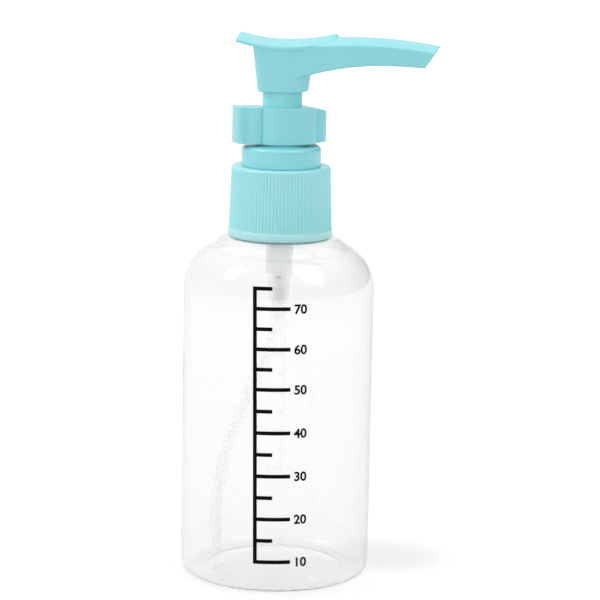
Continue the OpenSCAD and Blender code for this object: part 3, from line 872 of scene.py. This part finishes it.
class PUMPBOTTLE_OT_chaplet(bpy.types.Operator):
    """Mould the chaplet that snaps over the pump housing"""
    bl_idname = "pumpbottle.chaplet"
    bl_label = "Chaplet"

    def execute(self, context):
        closure, finish = settings(context, "closure", "finish")
        foot, top = span("chaplet")
        r, boss_r, boss_h = HIGH["chaplet"].x, 5.05 * mm, 0.75 * mm
        shoulder, crest = top - boss_h - 0.1 * mm, top - 0.2 * mm
        lid = HIGH["pump_housing"].z + 0.05 * mm
        sleeve_r, shank_r = 5.62 * mm, closure.shank_r + 0.15 * mm
        outline = rounded([
            (sleeve_r, foot), (r - 1.2 * mm, foot), (r, foot, 0.02 * mm),
            (r, shoulder, closure.chaplet_round), (boss_r, shoulder + 0.25 * mm, 0.1 * mm),
            (boss_r, crest, 0.1 * mm), (shank_r, crest, 0.15 * mm), (shank_r, lid), (sleeve_r, lid),
            (sleeve_r, foot)], 8)
        chaplet = turned("chaplet_cap", outline, 144)
        plastic = moulded_plastic("Aqua polypropylene chaplet", finish.aqua, finish.gloss - 0.1)
        placed(chaplet, plastic, "pump_body", "chaplet")
        return {"FINISHED"}


class PUMPBOTTLE_OT_stem(bpy.types.Operator):
    """Mould the stem: the visible shank, its inner tube and the plug in the head"""
    bl_idname = "pumpbottle.stem"
    bl_label = "Stem"

    def execute(self, context):
        closure, finish = settings(context, "closure", "finish")
        low, high = span("stem")
        foot = HIGH["pump_housing"].z - 0.8 * mm
        collar = foot + 0.7 * mm
        top = high - 3.1 * mm
        under = top - 0.9 * mm
        bore_r, tube_r, plug_r, collar_r = 0.9 * mm, 1.5 * mm, 2.2 * mm, 4.45 * mm
        shank_r, inner = closure.shank_r, closure.shank_r - 0.84 * mm
        outline = rounded([
            (bore_r, low), (tube_r, low, 0.1 * mm), (tube_r, under, 0.1 * mm), (inner, under, 0.2 * mm),
            (inner, foot, 0.1 * mm), (collar_r, foot, 0.1 * mm), (collar_r, collar, 0.1 * mm),
            (shank_r, collar, 0.1 * mm), (shank_r, top, 0.25 * mm), (plug_r, top, 0.15 * mm),
            (plug_r, high, 0.2 * mm), (bore_r, high, 0.1 * mm), (bore_r, low)])
        stem = turned("pump_stem", outline, 128)
        plastic = moulded_plastic("Aqua polypropylene stem", finish.shank, finish.gloss)
        placed(stem, plastic, "plunger_body", "stem")
        return {"FINISHED"}


class PUMPBOTTLE_OT_lock_clip(bpy.types.Operator):
    """Mould the C-shaped lock clip with its two finger wings"""
    bl_idname = "pumpbottle.lock_clip"
    bl_label = "Lock clip"

    RIGHT, LEFT = 9.45, 10.1  # mm from the axis to the tips of the wings

    @staticmethod
    def wing(side, reach, inset=0.0):
        """Plan of one wing in mm, from its valley at the face round its tip and back."""
        if side > 0:
            front = [(6.75, -3.2), (7.3, -3.1), (8.2, -2.7), (reach - 0.45 - inset, -1.9)]
            nose = -1.0
        else:
            front = [(5.35, -2.65), (6.1, -2.75), (7.0, -2.45), (7.8, -1.95), (8.6, -1.6),
                     (reach - 0.8 - inset, -1.65), (reach - 0.25 - inset, -1.3)]
            nose = -0.5
        back = [(reach - inset, 2.2), (reach - 0.3 - inset, 2.9), (reach - 1.1 - inset, 3.2), (8, 3.1),
                (6.6, 2.85), (5.6, 2.5)]
        corners = ([(x, y + inset) for x, y in front] + [(reach - inset, nose)]
                   + [(x, y - inset) for x, y in back])
        plan = [(side * p.x * mm, p.y * mm) for p in flowing(corners)]
        return plan if side > 0 else plan[::-1]

    @staticmethod
    def face():
        """Plan of the face between the two valleys: it swells in front of the ring, and more to the right."""
        corners = [(-5.35, -2.65), (-4.95, -3.35), (-4.1, -4.2), (-2.6, -5.1), (0, -5.6), (2.4, -5.8),
                   (4.3, -5.5), (5.6, -4.8), (6.3, -3.8), (6.75, -3.2)]
        return [(p.x * mm, p.y * mm) for p in flowing(corners)][1:-1]

    def execute(self, context):
        closure, finish = settings(context, "closure", "finish")
        low, high = LOW["lock_clip"].z - 0.2 * mm, HIGH["lock_clip"].z
        height = high - low
        slot, arm, lead_in = closure.shank_r + 0.1 * mm, 2.4 * mm, 0.3 * mm
        ring_r = 5.9 * mm  # the pockets that core the wings stop at the ring
        outline = (self.face() + self.wing(1, self.RIGHT) + [(slot + lead_in, arm), (slot, arm - lead_in)]
                   + arc(0, 0, slot, 0, -180, 40) + [(-slot, arm - lead_in), (-slot - lead_in, arm)]
                   + self.wing(-1, self.LEFT))
        clip = block("finger_clip", outline, low, height)
        for side, reach in ((1, self.RIGHT), (-1, self.LEFT)):
            plan = [(x, y) for x, y in self.wing(side, reach, closure.clip_wall / mm) if abs(x) > ring_r]
            cut(clip, block("pocket", plan, low - mm, height - closure.clip_wall - closure.clip_drop + mm))
        slope = closure.clip_drop / (self.RIGHT * mm - closure.shank_r)

        def ramped(place):
            """The right wing's top falls from the shank to its tip."""
            beyond = place.x - closure.shank_r
            drop = beyond * slope if place.z > high - 0.01 * mm and beyond > 0 else 0
            return place.x, place.y, place.z - drop

        opened(clip)
        bpy.ops.mesh.bisect(plane_co=(closure.shank_r, 0, 0), plane_no=(1, 0, 0))
        moved(clip, ramped)
        merge()
        bpy.ops.object.mode_set(mode="OBJECT")
        opened(apply("BEVEL", width=0.2 * mm, segments=3, limit_method="ANGLE", angle_limit=math.radians(50)))
        turn = Matrix.Rotation(closure.clip_yaw, 3, "Z")
        moved(clip, lambda place: turn @ place)
        plastic = moulded_plastic("Aqua polypropylene clip", finish.aqua, finish.gloss)
        placed(closed(40.0), plastic, "clip_body", "lock_clip")
        return {"FINISHED"}


class PUMPBOTTLE_OT_head(bpy.types.Operator):
    """Mould the actuator head: body, thumb pad and spout in one skin"""
    bl_idname = "pumpbottle.head"
    bl_label = "Actuator head"

    def execute(self, context):
        closure, head, finish = settings(context, "closure", "head", "finish")
        base, reach = LOW["actuator_head"].z, HIGH["actuator_head"].x
        level = base + head.pad_z

        def bow(x, middle, size):
            """Rise at x of a parabola with its vertex at middle. Both middle and size are in mm."""
            return (x / mm - middle) ** 2 / size * mm

        def surface(x):
            """Height of the thumb pad along its middle."""
            return level + bow(x, 0.3, 63 if x < 0.3 * mm else 84)

        def crown(x):
            """Height of the spout's top along its middle."""
            return level + 0.74 * mm - bow(x, 16, 190)

        def under(x):
            """Height of the spout's underside."""
            return level - 4.84 * mm - bow(x, 21.5, 108 if x < 21.5 * mm else 200)

        def along(start, end, cells=60):
            return [start + (end - start) * i / cells for i in range(cells + 1)]

        def arch(half, drop, cells=8):
            """The top of a crowned section, from its left edge to its right one."""
            return [(half * i / cells, -drop * abs(i / cells) ** 1.5) for i in range(-cells, cells + 1)]

        # The body: square towards the back, round towards the spout, on a plan that grows upwards.
        half_l, half_w, round_r, back_r, widening = head.half_l, head.half_w, 4.4 * mm, 1.8 * mm, 1.11
        plan = rounded([(0, -half_w), (half_l, -half_w, round_r), (half_l, half_w, round_r),
                        (-half_l, half_w, back_r), (-half_l, -half_w, back_r), (0, -half_w)], 12)[:-1]
        opened(block("head_body", plan, base, head.pad_z - head.crown - 0.15 * mm))
        pick("verts", lambda vert: vert.co.z > base + mm)
        growth = (1 + head.flare / half_l, widening, 1)
        bpy.ops.transform.resize(value=growth, center_override=(0, 0, base))
        bpy.ops.mesh.select_all(action="SELECT")
        bpy.ops.transform.translate(value=(head.offset, 0, 0))
        body = closed()

        # The thumb pad: a crowned bar that dips in the middle and closes in a rounded nose.
        back, front = -8.95 * mm, 11.2 * mm
        taper, nose, blunt = 0.0008, 11.5, 0.03

        def share(x):
            """Width of the pad at x in mm, as a share of its full width."""
            return 1 - taper * x * x if x < 0 else math.sqrt(max(blunt, 1 - (x / nose) ** 2))

        def lean(x, step=0.01 * mm):
            """Tip of the pad's section at x, square to its surface."""
            return -math.degrees(math.atan((surface(x + step) - surface(x)) / step))

        section = [(head.pad_w, -head.pad_t), (-head.pad_w, -head.pad_t)] + arch(head.pad_w, head.crown)
        pad = swept("thumb_pad", section, [
            (x, surface(x), share(x / mm), 1.0, lean(x)) for x in along(back, front)])

        # The spout: a bevelled bar with a crowned top, which arches out from the body to its slanted tip.
        bevel, draft, cap, overlap = 0.45 * mm, 0.15 * mm, 2.6 * mm, 0.4 * mm
        w, deep = head.root_w, crown(0) - under(0)
        sections = {
            "spout": [(w - draft - bevel, -deep), (-w + draft + bevel, -deep), (-w + draft, -deep + bevel),
                      (-w, -cap), (w, -cap), (w - draft, -deep + bevel)],
            "spout_top": [(w, -cap - overlap), (-w, -cap - overlap)] + arch(w, 1.45 * mm)}
        spouts = []
        for name, section in sections.items():
            opened(swept(name, section, [
                (x, crown(x), 1 + (head.tip_w / head.root_w - 1) * x / reach,
                 (crown(x) - under(x)) / deep if name == "spout" else 1.0, 0.0)
                for x in along(0, reach + 2 * mm)]))
            bpy.ops.mesh.bisect(
                plane_co=(reach + 0.13 * mm, 0, crown(reach)), use_fill=True, clear_outer=True,
                plane_no=(math.cos(head.slant), 0, -math.sin(head.slant)))
            merge()
            spouts.append(closed())

        whole = named(join(body, pad, *spouts), "pump_head")
        apply("REMESH", mode="VOXEL", voxel_size=head.voxel, use_smooth_shade=True)
        apply("SMOOTH", factor=0.5, iterations=10)

        # The sockets for the stem and its plug, the valve chamber and the channel to the tip.
        stem_top, ball_top = HIGH["stem"].z, HIGH["outlet_ball"].z
        for radius, z, height in (
                (closure.shank_r + 0.1 * mm, base - mm, 2.65 * mm),
                (2.25 * mm, base, stem_top - base + 0.05 * mm),
                (1.6 * mm, stem_top - 0.1 * mm, ball_top - stem_top + 0.5 * mm)):
            cut(whole, cylinder(64, radius=radius, depth=height, location=(0, 0, z + height / 2)))
        channel = reach + 4 * mm
        cut(whole, cylinder(48, radius=head.bore_r, depth=channel, rotation=(0, math.pi / 2, 0),
                            location=(channel / 2, 0, level - 3.29 * mm)))
        smooth(whole, 50)
        plastic = moulded_plastic("Aqua polypropylene head", finish.aqua, finish.gloss)
        placed(whole, plastic, "head_body", "actuator_head")
        return {"FINISHED"}


class PUMPBOTTLE_OT_small_parts(bpy.types.Operator):
    """Finish the gasket, the two balls, the piston and the spring"""
    bl_idname = "pumpbottle.small_parts"
    bl_label = "Small parts"

    def execute(self, context):
        finishes = {
            "neck_gasket": foam("Gasket foam", (0.86, 0.86, 0.84)),
            "inlet_ball": steel("Polished ball steel", (0.9, 0.9, 0.91), 0.08, 0.3 * mm),
            "outlet_ball": steel("Polished ball steel outlet", (0.62, 0.63, 0.65), 0.08, 0.3 * mm),
            "piston": natural_plastic("White polyethylene", (0.86, 0.86, 0.84), 1.0, 0.45),
            "return_spring": steel("Spring steel", (0.55, 0.55, 0.56), 0.2, 0.15 * mm),
        }
        for node, material in finishes.items():
            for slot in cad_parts[node].material_slots:
                slot.material = material
        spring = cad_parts["return_spring"]
        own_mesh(spring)
        return {"FINISHED"}


class PUMPBOTTLE_OT_stage(bpy.types.Operator):
    """Set out the floor, the lamps, the background and the camera"""
    bl_idname = "pumpbottle.stage"
    bl_label = "Stage"

    def execute(self, context):
        scene, stage = context.scene, context.scene.pump_bottle_stage

        # The floor: matt white card, which is a little brighter away from the bottle's foot, and has a
        # painted shadow right of and behind the foot.
        bpy.ops.mesh.primitive_plane_add(size=8, location=(0, 0, -0.05 * mm))
        floor = bpy.context.object
        floor.name = "studio_floor"
        shade, place = material("Studio floor")
        seen = shade.seen("Is Camera Ray") + shade.seen("Is Transmission Ray")
        far = shade.ramp(shade.distance(place, (0, 0, 0)), 0.03, 0.9)
        # Painted shadow: the floor glows less in a soft patch right of and behind the foot.
        painted_shadow = shade.ramp(shade.distance(place, (24 * mm, 12 * mm, 0)), 4 * mm, 18 * mm)
        fibre = shade.noise(40 * mm, 4.0, place)
        matt = shade.add("BsdfDiffuse", {
            "Color": shade.mix(fibre, tinted((0.715,) * 3), tinted((0.735,) * 3))})
        glow = shade.add("Emission", {
            "Color": (1, 1, 1, 1),
            "Strength": seen * (0.185 + painted_shadow * 0.14 + far * 0.24) + shade.mirrored() * 0.35})
        floor.data.materials.append(shade.surface(shade.add("AddShader", {0: matt, 1: glow})))

        # The background: even to the eye. As a light it fades overhead, and as a reflection it is dark to the
        # right and bright overhead.
        scene.world = scene.world or bpy.data.worlds.new("Studio")
        shade = Shading(scene.world)
        camera_ray, through = shade.seen("Is Camera Ray"), shade.seen("Is Transmission Ray")
        way = shade.add("TexCoord", out="Generated")
        x, y, up = (shade.part(way, axis) for axis in "XYZ")
        right = shade.ramp(x, -0.1, 0.55)
        behind = shade.ramp(y, 0.3, 0.8) * shade.ramp(x, 0.05, 0.3, 1.0, 0.0)
        sky = shade.ramp(up, 0.3, 0.9)
        front = shade.ramp(y, -0.8, 0.1, 0.5, 1.0)
        mirrored = front * (1 - right * (1 - behind)) * (1 - sky) + sky * 1.5
        level = stage.level + 0.1 - 0.4 * up - 0.06 * x
        shade.surface(shade.add("Background", {
            "Color": (1, 1, 1, 1),
            "Strength": (level + camera_ray * (1 - level) + through * (1.13 - level)
                         + shade.mirrored() * (mirrored - level))}))

        shoulder = Vector((0, 0, 66 * mm))

        def softbox(name, place, edge, width, height, power):
            """A rectangular lamp that faces the bottle's shoulder, with its width along edge."""
            lamp = bpy.data.lights.new(name, "AREA")
            lamp.shape, lamp.size, lamp.size_y, lamp.energy = "RECTANGLE", width, height, power
            holder = bpy.data.objects.new(name, lamp)
            scene.collection.objects.link(holder)
            back = (Vector(place) - shoulder).normalized()
            up = back.cross(Vector(edge)).normalized()
            across = up.cross(back)
            facing = Matrix((across, up, back)).transposed().to_4x4()
            holder.matrix_world = Matrix.Translation(place) @ facing

        softbox("Left softbox", (-0.467, -0.126, 0.583), (0.49, -0.83, 0.26), 0.18, 0.365, stage.left)
        softbox("Right softbox", (0.379, -0.188, 0.634), (0.66, 0.72, -0.22), 0.33, 0.70, stage.right)

        camera = bpy.data.objects.new("Studio camera", bpy.data.cameras.new("Studio camera"))
        scene.collection.objects.link(camera)
        camera.data.sensor_width = 36
        camera.data.lens = stage.lens
        camera.data.clip_start, camera.data.clip_end = 0.01, 20
        around = Matrix.Rotation(stage.turn, 4, "Z")
        pitch = Matrix.Rotation(math.pi / 2 - stage.pitch, 4, "X")
        aim = Matrix.Rotation(stage.yaw, 4, "Z") @ pitch @ Matrix.Rotation(stage.roll, 4, "Z")
        camera.matrix_world = around @ Matrix.Translation((0, -stage.distance, stage.height)) @ aim
        scene.camera = camera
        scene.view_settings.view_transform = "Standard"
        return {"FINISHED"}


PIECES = (PUMPBOTTLE_OT_bottle, PUMPBOTTLE_OT_scale, PUMPBOTTLE_OT_collar, PUMPBOTTLE_OT_housing,
          PUMPBOTTLE_OT_dip_tube, PUMPBOTTLE_OT_chaplet, PUMPBOTTLE_OT_stem, PUMPBOTTLE_OT_lock_clip,
          PUMPBOTTLE_OT_head, PUMPBOTTLE_OT_small_parts, PUMPBOTTLE_OT_stage)
GROUPS = {
    "pump_bottle_body": PumpBottleBody,
    "pump_bottle_scale": PumpBottleScale,
    "pump_bottle_closure": PumpBottleClosure,
    "pump_bottle_head": PumpBottleHead,
    "pump_bottle_finish": PumpBottleFinish,
    "pump_bottle_stage": PumpBottleStage,
}


class PUMPBOTTLE_PT_panel(bpy.types.Panel):
    """The pieces of the bottle, in the order that they are made"""
    bl_label = "Pump Bottle"
    bl_idname = "PUMPBOTTLE_PT_panel"
    bl_space_type = "VIEW_3D"
    bl_region_type = "UI"
    bl_category = "Pump Bottle"

    def draw(self, context):
        for piece in PIECES:
            self.layout.operator(piece.bl_idname)
        for name in GROUPS:
            group = getattr(context.scene, name)
            box = self.layout.box()
            for value in group.bl_rna.properties:
                if value.identifier not in ("rna_type", "name"):
                    box.prop(group, value.identifier)


def register():
    for group in (*GROUPS.values(), *PIECES, PUMPBOTTLE_PT_panel):
        bpy.utils.register_class(group)
    for name, group in GROUPS.items():
        setattr(bpy.types.Scene, name, bpy.props.PointerProperty(type=group))


def unregister():
    for name in GROUPS:
        delattr(bpy.types.Scene, name)
    for group in reversed((*GROUPS.values(), *PIECES, PUMPBOTTLE_PT_panel)):
        bpy.utils.unregister_class(group)


def main():
    register()
    for piece in PIECES:
        area, name = piece.bl_idname.split(".")
        getattr(getattr(bpy.ops, area), name)()


if __name__ == "__main__":
    main()
